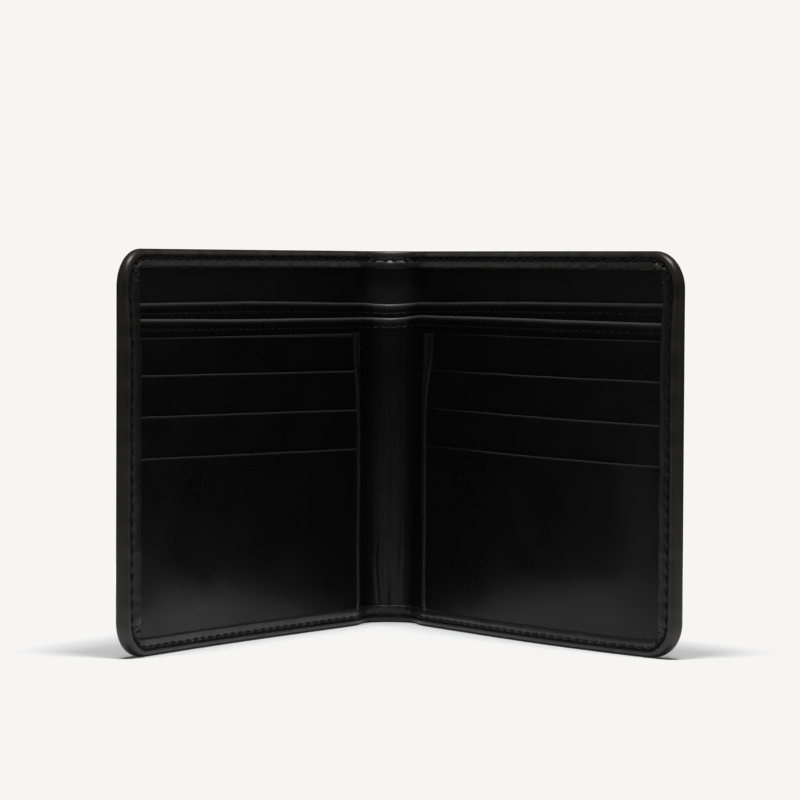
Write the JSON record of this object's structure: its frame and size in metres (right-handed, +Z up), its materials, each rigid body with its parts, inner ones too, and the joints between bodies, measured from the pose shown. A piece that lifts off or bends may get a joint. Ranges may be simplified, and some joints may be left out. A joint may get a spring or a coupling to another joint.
{
  "type": "bifold wallet",
  "caption": "Black leather bifold wallet standing half open, with card slots on both wings, two bill compartments and a stitched turned edge.",
  "frame": {"origin": "centre of the bounding box's underside, on the surface that the bottom edge stands on", "axes": "+X to the right along the spread wings, +Z up along the spine, and the opening faces -Y with the spine at +Y"},
  "size_m": [0.132, 0.0936, 0.095],
  "materials": {
    "cover_leather": "smooth semi-gloss black calf leather",
    "pocket_leather": "smooth black calf leather, thinner and a little glossier",
    "lining": "black twill lining",
    "stiffener_board": "bonded fibre board",
    "thread": "black bonded polyester thread"
  },
  "bodies": {
    "spine": {"spine_cover": "cover_leather", "spine_stiffener": "stiffener_board", "spine_lining": "lining", "spine_divider": "pocket_leather", "spine_panel": "pocket_leather", "spine_seam": "thread"},
    "left_wing": {"outer_cover_left": "cover_leather", "cover_stiffener_left": "stiffener_board", "bill_lining_left": "lining", "bill_divider_left": "pocket_leather", "interior_panel_left": "pocket_leather", "slip_pocket_left": "pocket_leather", "pocket_backing_left": "lining", "card_slot_1_left": "pocket_leather", "card_slot_2_left": "pocket_leather", "card_slot_3_left": "pocket_leather", "card_slot_4_left": "pocket_leather", "inner_seam_left": "thread", "outer_seam_left": "thread", "divider_seam_left": "thread", "interior_seam_left": "thread", "bar_tacks_left": "thread"},
    "right_wing": {"outer_cover_right": "cover_leather", "cover_stiffener_right": "stiffener_board", "bill_lining_right": "lining", "bill_divider_right": "pocket_leather", "interior_panel_right": "pocket_leather", "slip_pocket_right": "pocket_leather", "pocket_backing_right": "lining", "card_slot_1_right": "pocket_leather", "card_slot_2_right": "pocket_leather", "card_slot_3_right": "pocket_leather", "card_slot_4_right": "pocket_leather", "inner_seam_right": "thread", "outer_seam_right": "thread", "divider_seam_right": "thread", "interior_seam_right": "thread", "bar_tacks_right": "thread"}
  },
  "joints": [
    {"name": "left_fold", "type": "hinge", "parent": "spine", "child": "left_wing", "pos_m": [-0.0052, 0.04637, 0.0475], "axis": [0, 0, 1], "range_deg": [-56.5, 33.5]},
    {"name": "right_fold", "type": "hinge", "parent": "spine", "child": "right_wing", "pos_m": [0.0052, 0.04637, 0.0475], "axis": [0, 0, 1], "range_deg": [-33.5, 56.5]}
  ],
  "couplings": [
    {"joint": "right_fold", "follows": "left_fold", "ratio": -1}
  ]
}
